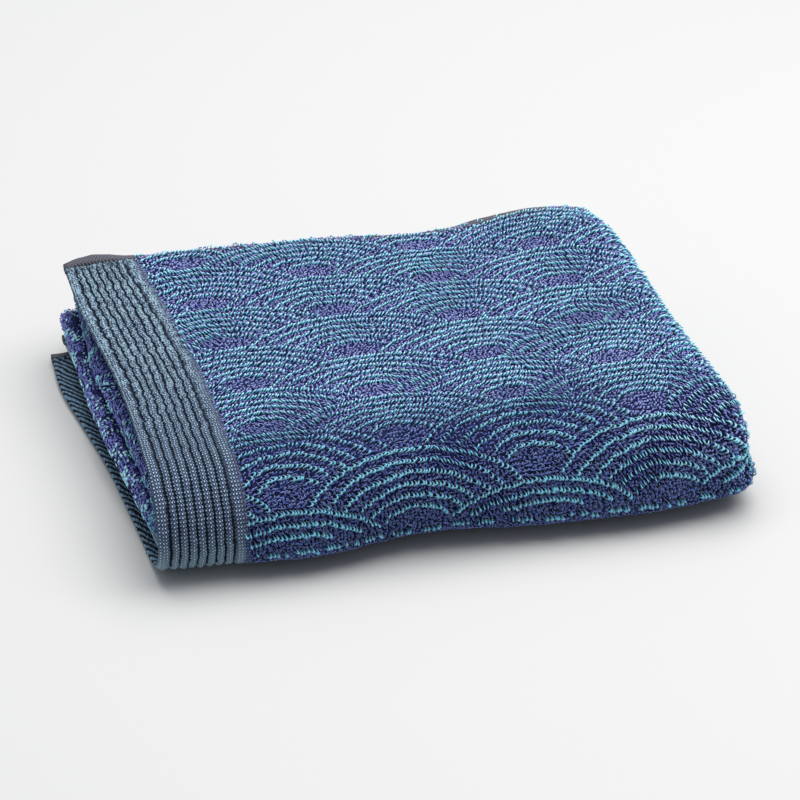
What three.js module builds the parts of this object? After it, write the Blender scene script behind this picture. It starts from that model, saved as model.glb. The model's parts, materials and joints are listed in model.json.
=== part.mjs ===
// A terry face towel with ribbed end borders and bound long edges, folded in four along its length
// and then in half across its width, so that eight layers lie on each other.
// Millimetres, +Z up. It rests on its lowest layer at z = 0, with the fold of its width at the front
// (-Y), the big folds of its length at the right (+X) and its two ends at the left (-X).
//
// Each piece starts as a flat blank, cut from the open towel: u runs along the towel's length from its
// outer end, v across its width, and t through the cloth. fold() then carries every point of a blank to
// its place in the folded towel.
import * as THREE from "three";

// ---- The open towel ----
const TOWEL_LENGTH = 800;
const TOWEL_WIDTH = 350;
const BORDER_WIDTH = 29.4; // ribbed, pile-free ends
const EDGING_WIDTH = 4; // binding along both long edges
const PILE_THICKNESS = 4.15; // terry, loops on both faces
const BORDER_THICKNESS = 2.7;
const EDGING_THICKNESS = 2.6;
const SEAM_GAP = 0.3; // between neighbouring pieces

// ---- The folded stack ----
const LAYERS = 4; // in each half
const LAYER_PITCH = 4.65; // middle of one layer to the middle of the next
const NOSE_LENGTH = 1.4; // depth of the front fold, as a share of its height
const INNER_END_DRAWN_IN = 3; // how far the hidden end stops short of the outer one

const layerHeight = (layer) => LAYER_PITCH * (layer - 0.5); // above or below the middle of the stack
const OUTER_LAYER = layerHeight(LAYERS);
const HALF_HEIGHT = OUTER_LAYER + PILE_THICKNESS / 2;
const BIG_FOLD_RADIUS = (OUTER_LAYER - layerHeight(1)) / 2; // outer fold, which wraps the inner one
const SMALL_FOLD_RADIUS = LAYER_PITCH / 2;

// The length of the stack follows from the towel's length: four runs and three folds use it all up.
const FOLDS_LENGTH = Math.PI * (BIG_FOLD_RADIUS + 2 * SMALL_FOLD_RADIUS);
const FOLDS_REACH = 4 * BIG_FOLD_RADIUS + 2 * SMALL_FOLD_RADIUS + 3 * PILE_THICKNESS;
const STACK_LENGTH = (TOWEL_LENGTH - FOLDS_LENGTH + FOLDS_REACH + INNER_END_DRAWN_IN) / 4;
const LEFT = -STACK_LENGTH / 2;
const RIGHT_FOLDS_X = STACK_LENGTH / 2 - BIG_FOLD_RADIUS - PILE_THICKNESS / 2;
const LEFT_FOLD_X = LEFT + SMALL_FOLD_RADIUS + PILE_THICKNESS / 2;

// The depth of the stack follows from the width of its outermost layer.
const NOSE_ARC = (Math.PI * OUTER_LAYER * (1 + NOSE_LENGTH)) / 2;
const FLAT_WIDTH = (TOWEL_WIDTH - NOSE_ARC) / 2;
const NOSE_DEPTH = HALF_HEIGHT * NOSE_LENGTH;
const BACK_Y = (FLAT_WIDTH + NOSE_DEPTH) / 2;
const NOSE_Y = BACK_Y - FLAT_WIDTH;

// ---- Unevenness, as it was laid down by hand ----
// How far each left-hand end and the right-hand folds stray along X, against the share of the towel's
// width, from the upper back edge (0) round the front fold (0.5) to the lower back edge (1).
const STRAYS = [
  { across: 0.0, outerEnd: 0.3, innerEnd: 2.9, smallFold: 2.4, bigFold: 0.0 },
  { across: 1 / 12, outerEnd: -0.2, innerEnd: 2.9, smallFold: 1.0, bigFold: 0.0 },
  { across: 2 / 12, outerEnd: 0.9, innerEnd: 2.9, smallFold: -1.2, bigFold: -0.5 },
  { across: 3 / 12, outerEnd: 2.4, innerEnd: 2.9, smallFold: 0.0, bigFold: -1.6 },
  { across: 4 / 12, outerEnd: 2.2, innerEnd: 2.4, smallFold: 1.2, bigFold: -1.4 },
  { across: 5 / 12, outerEnd: 1.0, innerEnd: 1.4, smallFold: 1.6, bigFold: -0.6 },
  { across: 6 / 12, outerEnd: 0.0, innerEnd: 0.0, smallFold: 1.0, bigFold: 0.2 },
  { across: 7 / 12, outerEnd: 0.0, innerEnd: -0.5, smallFold: -0.6, bigFold: 1.2 },
  { across: 8 / 12, outerEnd: -1.0, innerEnd: -1.0, smallFold: -2.4, bigFold: 1.6 },
  { across: 9 / 12, outerEnd: -2.4, innerEnd: -2.0, smallFold: -4.2, bigFold: 1.2 },
  { across: 10 / 12, outerEnd: -5.3, innerEnd: -3.2, smallFold: -4.6, bigFold: 0.8 },
  { across: 11 / 12, outerEnd: -8.1, innerEnd: -4.4, smallFold: -4.0, bigFold: 0.5 },
  { across: 1.0, outerEnd: -7.2, innerEnd: -5.2, smallFold: -3.4, bigFold: 0.5 },
];
// How far the back edges of the two halves stand out along +Y, against the share of the towel's length.
const BACK_DRIFTS = [
  { along: 0, upper: 0, lower: 0 },
  { along: 1 / 8, upper: 0.4, lower: -0.5 },
  { along: 2 / 8, upper: 0, lower: 0.8 },
  { along: 3 / 8, upper: 1.9, lower: 1.5 },
  { along: 4 / 8, upper: 2.4, lower: 2.0 },
  { along: 5 / 8, upper: 2.6, lower: 2.8 },
  { along: 6 / 8, upper: 1.0, lower: 1.6 },
  { along: 7 / 8, upper: 1.4, lower: 0.6 },
  { along: 1, upper: 1.8, lower: 0.4 },
];
// Soft rises, hollows and pushes: where each is centred, how far it reaches and what it moves there.
// A rise is given at the top of the stack and fades to nothing at the surface below. With `only`, it
// takes just the layers whose ends stray by that column of STRAYS.
const SWELLS = [
  { at: [-67, 80, 36], reach: [42, 28, 40], move: [0, 1.0, 1.2] }, // back left corner, raised
  { at: [-77, 88, 38], reach: [17, 30, 12], move: [-3.8, 0, 0] }, // border drawn in at the back
  { at: [30, 80, 36], reach: [27, 28, 40], move: [0, -2.4, -1.6] }, // hollow behind the middle
  { at: [82, 76, 36], reach: [25, 28, 40], move: [0, 0.8, 1.8] }, // back right swell
  { at: [104, 86, 34], reach: [16, 16, 40], move: [-2.5, -1.0, -1.8] }, // back right corner, tucked in
  { at: [-72, -38, 36], reach: [57, 38, 40], move: [0, 0, -0.6] }, // slack of the left half
  { at: [0, 0, 36], reach: [57, 48, 40], move: [0, 0, -0.8] }, // slack of the middle
  { at: [57, -29, 36], reach: [38, 33, 40], move: [0, 0, 0.8] }, // right half, filled
  { at: [30, -84, 3], reach: [105, 28, 10], move: [0, -3.8, 0] }, // whole foot of the nose, standing forward
  { at: [-82, -82, 5], reach: [28, 30, 14], move: [0, -2.9, 0] }, // foot of the nose, left
  { at: [-48, -84, 4], reach: [22, 24, 11], move: [0, -5.4, 0] }, // foot of the nose, left of the middle
  { at: [-12, -82, 4], reach: [24, 30, 13], move: [0, 1.4, 0] }, // foot of the nose, middle
  { at: [22, -84, 4], reach: [22, 26, 12], move: [0, -2.4, 0] }, // foot of the nose, right of the middle
  { at: [64, -84, 5], reach: [36, 27, 14], move: [0, -6.6, 0] }, // foot of the nose, right
  { at: [100, -68, 18.5], reach: [14, 22, 4.5], move: [-2.2, 0, 0] }, // crease between the big folds
  { at: [100, -68, 9], reach: [14, 26, 7], move: [1.7, 0, 0] }, // lower big fold, bulging
  { at: [-106, 86, 2], reach: [24, 22, 12], move: [0, -4.5, 0], only: "outerEnd" }, // drawn forwards
];

// ---- Fineness of the mesh ----
const RUN_STEPS = 9;
const BIG_FOLD_STEPS = 8;
const SMALL_FOLD_STEPS = 6;
const FLAT_STEPS = 9; // across each flat half
const NOSE_STEPS = 10;

// ---- Colours ----
const TERRY = { color: "#3f4c9a", roughness: 0.95, metalness: 0 };
const BORDER = { color: "#5f7f96", roughness: 0.9, metalness: 0 };
const EDGING = { color: "#4a4b58", roughness: 0.85, metalness: 0 };

// The towel's length as it lies: straight runs along X at their height in the stack, and half turns
// about (centre, height) that start at the angle `from` and sweep clockwise (-1) or back (+1).
const ROUTE = [
  { run: [LEFT, RIGHT_FOLDS_X], height: OUTER_LAYER, stray: "outerEnd" },
  {
    centre: RIGHT_FOLDS_X,
    height: (OUTER_LAYER + layerHeight(1)) / 2,
    radius: BIG_FOLD_RADIUS,
    from: Math.PI / 2,
    sweep: -1,
    stray: "outerEnd",
  },
  { run: [RIGHT_FOLDS_X, LEFT_FOLD_X], height: layerHeight(1), stray: "smallFold" },
  {
    centre: LEFT_FOLD_X,
    height: (layerHeight(1) + layerHeight(2)) / 2,
    radius: SMALL_FOLD_RADIUS,
    from: -Math.PI / 2,
    sweep: -1,
    stray: "smallFold",
  },
  { run: [LEFT_FOLD_X, RIGHT_FOLDS_X], height: layerHeight(2), stray: "smallFold" },
  {
    centre: RIGHT_FOLDS_X,
    height: (layerHeight(2) + layerHeight(3)) / 2,
    radius: SMALL_FOLD_RADIUS,
    from: -Math.PI / 2,
    sweep: 1,
    stray: "innerEnd",
  },
  {
    run: [RIGHT_FOLDS_X, LEFT + INNER_END_DRAWN_IN],
    height: layerHeight(3),
    stray: "innerEnd",
  },
];
let routeLength = 0;
for (const leg of ROUTE) {
  leg.starts = routeLength;
  leg.length = leg.run ? Math.abs(leg.run[1] - leg.run[0]) : Math.PI * leg.radius;
  routeLength += leg.length;
}

function legAt(u) {
  return ROUTE.findLast((leg) => u >= leg.starts) ?? ROUTE[0];
}

// Where a point lies in the stack's section, at x along it and `height` above its middle.
function layInSection(u, t) {
  const leg = legAt(u);
  const share = (u - leg.starts) / leg.length;
  if (leg.run) {
    const [x0, x1] = leg.run;
    return { leg, x: x0 + (x1 - x0) * share, height: leg.height + t * Math.sign(x1 - x0) };
  }
  const angle = leg.from + leg.sweep * Math.PI * share;
  const radius = leg.radius - leg.sweep * t;
  return {
    leg,
    x: leg.centre + radius * Math.cos(angle),
    height: leg.height + radius * Math.sin(angle),
  };
}

// One column of a table with evenly spaced rows, on a smooth curve through them; share runs from 0 to 1.
function smoothColumn(rows, column, share) {
  const last = rows.length - 1;
  const place = THREE.MathUtils.clamp(share, 0, 1) * last;
  const row = Math.min(Math.floor(place), last - 1);
  const value = (index) => rows[THREE.MathUtils.clamp(index, 0, last)][column];
  const f = place - row;
  const [a, b, c, d] = [value(row - 1), value(row), value(row + 1), value(row + 2)];
  const slope = f * (c - a);
  const curve = f * f * (2 * a - 5 * b + 4 * c - d);
  const turn = f ** 3 * (3 * b - a - 3 * c + d);
  return b + (slope + curve + turn) / 2;
}

function settle(point, leg, u, v) {
  const across = v / TOWEL_WIDTH;
  const leftShare = Math.max((RIGHT_FOLDS_X - point.x) / (RIGHT_FOLDS_X - LEFT), 0);
  const rightShare = 1 - Math.min(leftShare, 1);
  const half = across < 0.5 ? "upper" : "lower";
  const backShare = Math.max(1 - Math.min(v, TOWEL_WIDTH - v) / FLAT_WIDTH, 0) ** 2;
  const moved = point.clone();
  moved.x += leftShare * smoothColumn(STRAYS, leg.stray, across);
  moved.x += rightShare * smoothColumn(STRAYS, "bigFold", across);
  moved.y += backShare * smoothColumn(BACK_DRIFTS, half, u / TOWEL_LENGTH);
  for (const { at, reach, move, only = leg.stray } of SWELLS) {
    if (only !== leg.stray) continue;
    const away =
      ((point.x - at[0]) / reach[0]) ** 2 +
      ((point.y - at[1]) / reach[1]) ** 2 +
      ((point.z - at[2]) / reach[2]) ** 2;
    const strength = Math.exp(-away);
    moved.x += move[0] * strength;
    moved.y += move[1] * strength;
    moved.z += (move[2] * strength * point.z) / (2 * HALF_HEIGHT);
  }
  return moved;
}

function fold(u, v, t) {
  const { leg, x, height } = layInSection(u, t);
  const point = new THREE.Vector3(x);
  if (v < FLAT_WIDTH) {
    point.y = BACK_Y - v;
    point.z = HALF_HEIGHT + height;
  } else if (v > TOWEL_WIDTH - FLAT_WIDTH) {
    point.y = BACK_Y - (TOWEL_WIDTH - v);
    point.z = HALF_HEIGHT - height;
  } else {
    const angle = (Math.PI * (v - FLAT_WIDTH)) / (TOWEL_WIDTH - 2 * FLAT_WIDTH);
    point.y = NOSE_Y - NOSE_LENGTH * height * Math.sin(angle);
    point.z = HALF_HEIGHT + height * Math.cos(angle);
  }
  return settle(point, leg, u, v);
}

// ---- Mesh lines, shared by all pieces so that facing layers bend alike ----
function evenSteps(from, to, steps) {
  return Array.from({ length: steps }, (_, i) => from + ((to - from) * i) / steps);
}
const borderSeams = [BORDER_WIDTH, TOWEL_LENGTH - BORDER_WIDTH];
const linesAlong = ROUTE.flatMap((leg) => {
  const foldSteps = leg.radius === BIG_FOLD_RADIUS ? BIG_FOLD_STEPS : SMALL_FOLD_STEPS;
  return evenSteps(leg.starts, leg.starts + leg.length, leg.run ? RUN_STEPS : foldSteps);
})
  .concat(borderSeams)
  .sort((a, b) => a - b);
const linesAcross = [
  ...evenSteps(0, FLAT_WIDTH, FLAT_STEPS),
  ...evenSteps(FLAT_WIDTH, TOWEL_WIDTH - FLAT_WIDTH, NOSE_STEPS),
  ...evenSteps(TOWEL_WIDTH - FLAT_WIDTH, TOWEL_WIDTH, FLAT_STEPS),
];
const LINE_CLEARANCE = 1; // a mesh line this close to a piece's edge is left out

function linesBetween(lines, [from, to]) {
  const inside = lines.filter((at) => at > from + LINE_CLEARANCE && at < to - LINE_CLEARANCE);
  return [from, ...inside, to];
}

// A box is split into squares that all lean one way. Layers that face each other run opposite ways, so
// every second one has its diagonals turned, and facing surfaces then bend along the same lines.
function turnDiagonals(box, us, vs) {
  const { index } = box;
  const { position } = box.attributes;
  for (let i = 0; i < index.count; i += 6) {
    const [a, b, d, , c] = [0, 1, 2, 3, 4].map((k) => index.getX(i + k));
    const corners = [a, b, c, d];
    const mean = (get) => corners.reduce((sum, corner) => sum + get(corner), 0) / 4;
    const across = mean((corner) => vs[Math.round(position.getY(corner))]);
    const leg = legAt(mean((corner) => us[Math.round(position.getX(corner))]));
    const backward = leg.run ? leg.run[1] < leg.run[0] : false;
    const lower = across > TOWEL_WIDTH / 2;
    const reverseSide = corners.every((corner) => position.getZ(corner) < 0);
    if ((backward !== lower) !== reverseSide) {
      [a, b, c, a, c, d].forEach((corner, k) => index.setX(i + k, corner));
    }
  }
}

// A piece cut from the open towel between two places along it and two across it, folded into place.
function cutAndFold(name, { along, across, thickness, finish }) {
  const us = linesBetween(linesAlong, along);
  const vs = linesBetween(linesAcross, across);
  const [columns, rows] = [us.length - 1, vs.length - 1];
  const blank = new THREE.BoxGeometry(columns, rows, thickness, columns, rows, 1);
  blank.translate(columns / 2, rows / 2, 0);
  turnDiagonals(blank, us, vs);
  const { position } = blank.attributes;
  for (let i = 0; i < position.count; i++) {
    const u = us[Math.round(position.getX(i))];
    const v = vs[Math.round(position.getY(i))];
    position.setXYZ(i, ...fold(u, v, -position.getZ(i))); // the blank lies face down
  }
  blank.computeVertexNormals();
  const mesh = new THREE.Mesh(blank, new THREE.MeshStandardMaterial(finish));
  mesh.name = name;
  return mesh;
}

// ---- The pieces ----
const betweenEdgings = [EDGING_WIDTH + SEAM_GAP, TOWEL_WIDTH - EDGING_WIDTH - SEAM_GAP];
const cloth = new THREE.Group();
cloth.add(
  cutAndFold("terry_body", {
    along: [BORDER_WIDTH + SEAM_GAP, TOWEL_LENGTH - BORDER_WIDTH - SEAM_GAP],
    across: betweenEdgings,
    thickness: PILE_THICKNESS,
    finish: TERRY,
  }),
  cutAndFold("border_outer_end", {
    along: [0, BORDER_WIDTH],
    across: betweenEdgings,
    thickness: BORDER_THICKNESS,
    finish: BORDER,
  }),
  cutAndFold("border_inner_end", {
    along: [TOWEL_LENGTH - BORDER_WIDTH, TOWEL_LENGTH],
    across: betweenEdgings,
    thickness: BORDER_THICKNESS,
    finish: BORDER,
  }),
  cutAndFold("edging_upper", {
    along: [0, TOWEL_LENGTH],
    across: [0, EDGING_WIDTH],
    thickness: EDGING_THICKNESS,
    finish: EDGING,
  }),
  cutAndFold("edging_lower", {
    along: [0, TOWEL_LENGTH],
    across: [TOWEL_WIDTH - EDGING_WIDTH, TOWEL_WIDTH],
    thickness: EDGING_THICKNESS,
    finish: EDGING,
  }),
);

// The origin stands under the middle of the folded towel's box.
const box = new THREE.Box3().setFromObject(cloth, true);
const middle = box.getCenter(new THREE.Vector3());
cloth.position.set(-middle.x, -middle.y, -box.min.z);

const towel = new THREE.Group();
towel.add(cloth);

export default towel;
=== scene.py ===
"""A terry face towel with ribbed end borders and bound long edges, folded in eight layers.

Every piece is made flat, in the frame of the open towel: X runs along the towel from its outer end,
-Y across it from the edge that lies at the upper back, and Z through it, all in millimetres. fold()
then carries each point to its place in the folded towel, in metres.
"""

import json
import math

import bpy
import numpy as np
from bpy.props import FloatProperty, FloatVectorProperty, PointerProperty
from bpy.types import Operator, Panel, PropertyGroup
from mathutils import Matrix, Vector

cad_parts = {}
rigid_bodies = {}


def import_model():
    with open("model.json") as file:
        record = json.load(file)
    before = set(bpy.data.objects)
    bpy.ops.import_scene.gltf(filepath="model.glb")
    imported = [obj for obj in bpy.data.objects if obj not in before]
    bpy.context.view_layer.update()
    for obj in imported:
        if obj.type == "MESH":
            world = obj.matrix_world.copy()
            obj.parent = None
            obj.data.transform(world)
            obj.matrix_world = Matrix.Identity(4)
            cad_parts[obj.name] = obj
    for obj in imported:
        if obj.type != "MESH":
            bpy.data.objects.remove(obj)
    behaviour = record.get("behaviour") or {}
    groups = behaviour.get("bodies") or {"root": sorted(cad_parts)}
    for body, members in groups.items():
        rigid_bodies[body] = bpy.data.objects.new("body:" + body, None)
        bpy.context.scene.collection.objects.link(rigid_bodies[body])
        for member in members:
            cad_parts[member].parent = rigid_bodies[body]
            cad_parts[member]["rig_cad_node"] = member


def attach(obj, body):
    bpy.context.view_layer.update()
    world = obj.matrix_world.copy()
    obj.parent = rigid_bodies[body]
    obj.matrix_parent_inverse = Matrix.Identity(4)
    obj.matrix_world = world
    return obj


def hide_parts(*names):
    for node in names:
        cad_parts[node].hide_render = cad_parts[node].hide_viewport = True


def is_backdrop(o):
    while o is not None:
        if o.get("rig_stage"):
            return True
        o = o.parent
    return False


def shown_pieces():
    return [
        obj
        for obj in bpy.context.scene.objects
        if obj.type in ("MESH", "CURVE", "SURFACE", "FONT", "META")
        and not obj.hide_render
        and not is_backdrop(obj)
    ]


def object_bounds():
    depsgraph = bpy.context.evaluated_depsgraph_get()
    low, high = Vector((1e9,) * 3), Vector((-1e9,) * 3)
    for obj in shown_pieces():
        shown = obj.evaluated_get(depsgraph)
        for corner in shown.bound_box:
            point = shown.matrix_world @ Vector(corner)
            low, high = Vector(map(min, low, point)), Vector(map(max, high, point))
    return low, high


bl_info = {
    "name": "Folded face towel",
    "version": (1, 0, 0),
    "blender": (4, 5, 0),
    "location": "View3D > Sidebar > Towel",
    "description": "A terry face towel with ribbed borders, folded in eight layers",
    "category": "Add Mesh",
}

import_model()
bpy.ops.object.select_all(action="DESELECT")
FRAME_LOW, FRAME_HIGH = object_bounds()
MM = 0.001

# ---- The open towel, in millimetres ----
TOWEL_LENGTH = 800
TOWEL_WIDTH = 350
BORDER_WIDTH = 29.4
EDGING_WIDTH = 4
PILE_THICKNESS = 4.15
BORDER_THICKNESS = 2.7
EDGING_THICKNESS = 2.6
SEAM_GAP = 0.3
BETWEEN_EDGINGS = (EDGING_WIDTH + SEAM_GAP, TOWEL_WIDTH - EDGING_WIDTH - SEAM_GAP)

# ---- The folded stack ----
LAYERS = 4
LAYER_PITCH = 4.65
NOSE_LENGTH = 1.4
INNER_END_DRAWN_IN = 3


def layer_height(layer):
    """The height of a layer's middle above the middle of the stack."""
    return LAYER_PITCH * (layer - 0.5)


OUTER_LAYER = layer_height(LAYERS)
HALF_HEIGHT = OUTER_LAYER + PILE_THICKNESS / 2
BIG_FOLD_RADIUS = (OUTER_LAYER - layer_height(1)) / 2
SMALL_FOLD_RADIUS = LAYER_PITCH / 2
FOLDS_LENGTH = math.pi * (BIG_FOLD_RADIUS + 2 * SMALL_FOLD_RADIUS)
FOLDS_REACH = 4 * BIG_FOLD_RADIUS + 2 * SMALL_FOLD_RADIUS + 3 * PILE_THICKNESS
STACK_LENGTH = (TOWEL_LENGTH - FOLDS_LENGTH + FOLDS_REACH + INNER_END_DRAWN_IN) / 4
LEFT = -STACK_LENGTH / 2
RIGHT_FOLDS_X = STACK_LENGTH / 2 - BIG_FOLD_RADIUS - PILE_THICKNESS / 2
LEFT_FOLD_X = LEFT + SMALL_FOLD_RADIUS + PILE_THICKNESS / 2
NOSE_ARC = math.pi * OUTER_LAYER * (1 + NOSE_LENGTH) / 2
FLAT_WIDTH = (TOWEL_WIDTH - NOSE_ARC) / 2
NOSE_DEPTH = HALF_HEIGHT * NOSE_LENGTH
BACK_Y = (FLAT_WIDTH + NOSE_DEPTH) / 2
NOSE_Y = BACK_Y - FLAT_WIDTH

# ---- Unevenness, as it was laid down: the same tables as in the part's source ----
# At even steps across the towel's width: how far the left ends and right folds stray along X.
STRAY_COLUMNS = ("outer_end", "inner_end", "small_fold", "big_fold")
STRAYS = (
    (0.3, 2.9, 2.4, 0.0),
    (-0.2, 2.9, 1.0, 0.0),
    (0.9, 2.9, -1.2, -0.5),
    (2.4, 2.9, 0.0, -1.6),
    (2.2, 2.4, 1.2, -1.4),
    (1.0, 1.4, 1.6, -0.6),
    (0.0, 0.0, 1.0, 0.2),
    (0.0, -0.5, -0.6, 1.2),
    (-1.0, -1.0, -2.4, 1.6),
    (-2.4, -2.0, -4.2, 1.2),
    (-5.3, -3.2, -4.6, 0.8),
    (-8.1, -4.4, -4.0, 0.5),
    (-7.2, -5.2, -3.4, 0.5),
)
# At even steps along the towel's length: how far each half's back edge stands out along +Y.
DRIFT_COLUMNS = ("upper", "lower")
BACK_DRIFTS = (
    (0.0, 0.0),
    (0.4, -0.5),
    (0.0, 0.8),
    (1.9, 1.5),
    (2.4, 2.0),
    (2.6, 2.8),
    (1.0, 1.6),
    (1.4, 0.6),
    (1.8, 0.4),
)
# Soft rises, hollows and pushes: centre, reach, move at the top of the stack, and the stray it keeps to.
SWELLS = (
    ((-67, 80, 36), (42, 28, 40), (0, 1.0, 1.2), None),
    ((-77, 88, 38), (17, 30, 12), (-3.8, 0, 0), None),
    ((30, 80, 36), (27, 28, 40), (0, -2.4, -1.6), None),
    ((82, 76, 36), (25, 28, 40), (0, 0.8, 1.8), None),
    ((104, 86, 34), (16, 16, 40), (-2.5, -1.0, -1.8), None),
    ((-72, -38, 36), (57, 38, 40), (0, 0, -0.6), None),
    ((0, 0, 36), (57, 48, 40), (0, 0, -0.8), None),
    ((57, -29, 36), (38, 33, 40), (0, 0, 0.8), None),
    ((30, -84, 3), (105, 28, 10), (0, -3.8, 0), None),
    ((-82, -82, 5), (28, 30, 14), (0, -2.9, 0), None),
    ((-48, -84, 4), (22, 24, 11), (0, -5.4, 0), None),
    ((-12, -82, 4), (24, 30, 13), (0, 1.4, 0), None),
    ((22, -84, 4), (22, 26, 12), (0, -2.4, 0), None),
    ((64, -84, 5), (36, 27, 14), (0, -6.6, 0), None),
    ((100, -68, 18.5), (14, 22, 4.5), (-2.2, 0, 0), None),
    ((100, -68, 9), (14, 26, 7), (1.7, 0, 0), None),
    ((-106, 86, 2), (24, 22, 12), (0, -4.5, 0), "outer_end"),
)


def run(start, end, layer, stray):
    """A straight run of the towel's length along X, on one layer."""
    return {"run": (start, end), "height": layer_height(layer), "stray": stray}


def half_turn(centre, layers, angle, sweep, stray):
    """A half turn of the towel's length from one layer to another: from an angle, swept -1 or +1."""
    upper, lower = (layer_height(layer) for layer in layers)
    return {
        "centre": centre,
        "height": (upper + lower) / 2,
        "radius": abs(upper - lower) / 2,
        "turned": angle,
        "sweep": sweep,
        "stray": stray,
    }


# The towel's length as it lies, from its outer end to its inner one.
ROUTE = (
    run(LEFT, RIGHT_FOLDS_X, 4, "outer_end"),
    half_turn(RIGHT_FOLDS_X, (4, 1), math.pi / 2, -1, "outer_end"),
    run(RIGHT_FOLDS_X, LEFT_FOLD_X, 1, "small_fold"),
    half_turn(LEFT_FOLD_X, (2, 1), -math.pi / 2, -1, "small_fold"),
    run(LEFT_FOLD_X, RIGHT_FOLDS_X, 2, "small_fold"),
    half_turn(RIGHT_FOLDS_X, (3, 2), -math.pi / 2, 1, "inner_end"),
    run(RIGHT_FOLDS_X, LEFT + INNER_END_DRAWN_IN, 3, "inner_end"),
)


def leg_length(leg):
    if "run" in leg:
        return abs(leg["run"][1] - leg["run"][0])
    return math.pi * leg["radius"]


LEG_STARTS = np.concatenate([[0], np.cumsum([leg_length(leg) for leg in ROUTE])[:-1]])
BIG_FOLD, LEFT_FOLD = 1, 3  # their places in ROUTE


def leg_span(number):
    """Where a leg of the route starts and ends along the open towel."""
    return LEG_STARTS[number], LEG_STARTS[number] + leg_length(ROUTE[number])


def lines_along(on_run, on_turn=13):
    """Places for lines of faces along the towel, for each leg of its route."""
    return [np.linspace(*leg_span(i), on_run if "run" in leg else on_turn) for i, leg in enumerate(ROUTE)]


def round_nose(share):
    """The place across the towel that lies a share of the way round the nose at the front."""
    return FLAT_WIDTH + share * NOSE_ARC


# ---- Folding ----
def smooth_column(rows, column, share):
    """One column of a table with evenly spaced rows, on a smooth curve through them."""
    values = np.array([row[column] for row in rows])
    last = len(rows) - 1
    place = np.clip(share, 0, 1) * last
    row = np.minimum(np.floor(place), last - 1).astype(int)
    f = place - row
    a, b, c, d = (values[np.clip(row + step, 0, last)] for step in (-1, 0, 1, 2))
    slope = f * (c - a)
    curve = f**2 * (2 * a - 5 * b + 4 * c - d)
    turn = f**3 * (3 * b - a - 3 * c + d)
    return b + (slope + curve + turn) / 2


def lay_in_section(leg, share, t):
    """Where points lie in the stack's section: x, and height above the middle."""
    if "run" in leg:
        start, end = leg["run"]
        return start + (end - start) * share, leg["height"] + t * np.sign(end - start)
    angle = leg["turned"] + leg["sweep"] * math.pi * share
    radius = leg["radius"] - leg["sweep"] * t
    return leg["centre"] + radius * np.cos(angle), leg["height"] + radius * np.sin(angle)


def settle(points, leg, u, v):
    """Adds the unevenness to points that lie in even folds."""
    across = v / TOWEL_WIDTH
    left_share = np.maximum((RIGHT_FOLDS_X - points[:, 0]) / (RIGHT_FOLDS_X - LEFT), 0)
    right_share = 1 - np.minimum(left_share, 1)
    from_edge = np.minimum(v, TOWEL_WIDTH - v)
    back_share = np.maximum(1 - from_edge / FLAT_WIDTH, 0) ** 2
    drifts = [
        smooth_column(BACK_DRIFTS, DRIFT_COLUMNS.index(half), u / TOWEL_LENGTH)
        for half in ("upper", "lower")
    ]
    stray = smooth_column(STRAYS, STRAY_COLUMNS.index(leg["stray"]), across)
    big_stray = smooth_column(STRAYS, STRAY_COLUMNS.index("big_fold"), across)
    moved = points.copy()
    moved[:, 0] += left_share * stray + right_share * big_stray
    moved[:, 1] += back_share * np.where(across < 0.5, *drifts)
    for at, reach, move, only in SWELLS:
        if only not in (None, leg["stray"]):
            continue
        away = (((points - at) / reach) ** 2).sum(axis=1)
        strength = np.exp(-away)[:, None] * np.array(move)
        strength[:, 2] *= points[:, 2] / (2 * HALF_HEIGHT)
        moved += strength
    return moved


def fold_evenly(leg, share, v, t):
    x, height = lay_in_section(leg, share, t)
    upper, lower = v < FLAT_WIDTH, v > TOWEL_WIDTH - FLAT_WIDTH
    angle = math.pi * (v - FLAT_WIDTH) / (TOWEL_WIDTH - 2 * FLAT_WIDTH)
    nose_y = NOSE_Y - NOSE_LENGTH * height * np.sin(angle)
    nose_z = HALF_HEIGHT + height * np.cos(angle)
    y = np.select([upper, lower], [BACK_Y - v, BACK_Y - (TOWEL_WIDTH - v)], nose_y)
    z = np.select([upper, lower], [HALF_HEIGHT + height, HALF_HEIGHT - height], nose_z)
    return np.column_stack([x, y, z])


def fold_in_stack(flat):
    """Points of the open towel, carried to their place in the stack, in millimetres."""
    u, v, t = flat[:, 0], -flat[:, 1], flat[:, 2]
    number = np.clip(np.searchsorted(LEG_STARTS, u, side="right") - 1, 0, len(ROUTE) - 1)
    placed = np.empty((len(flat), 3))
    for i, leg in enumerate(ROUTE):
        on = number == i
        share = (u[on] - LEG_STARTS[i]) / leg_length(leg)
        placed[on] = settle(fold_evenly(leg, share, v[on], t[on]), leg, u[on], v[on])
    return placed


def stack_shift():
    """What brings the stack under the frame's own box."""
    us = np.linspace(0, TOWEL_LENGTH, 801)  # places 1 mm apart
    vs = np.linspace(0, TOWEL_WIDTH, 176)  # and 2 mm apart
    u, v, t = np.meshgrid(us, vs, (-0.5, 0.5), indexing="ij")
    on_border = np.minimum(u, TOWEL_LENGTH - u) < BORDER_WIDTH
    on_edging = np.minimum(v, TOWEL_WIDTH - v) < EDGING_WIDTH
    t = t * np.where(on_edging, EDGING_THICKNESS, np.where(on_border, BORDER_THICKNESS, PILE_THICKNESS))
    stack = fold_in_stack(np.column_stack([u.ravel(), -v.ravel(), t.ravel()]))
    low, high = stack.min(axis=0), stack.max(axis=0)
    frame_middle = np.array((FRAME_LOW + FRAME_HIGH) / 2) / MM
    shift = frame_middle - (low + high) / 2
    shift[2] = FRAME_LOW.z / MM - low[2]
    return shift


STACK_SHIFT = stack_shift()


def fold(flat):
    """Points of the open towel, carried to their place in the folded one, in metres."""
    return (fold_in_stack(flat) + STACK_SHIFT) * MM


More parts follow.
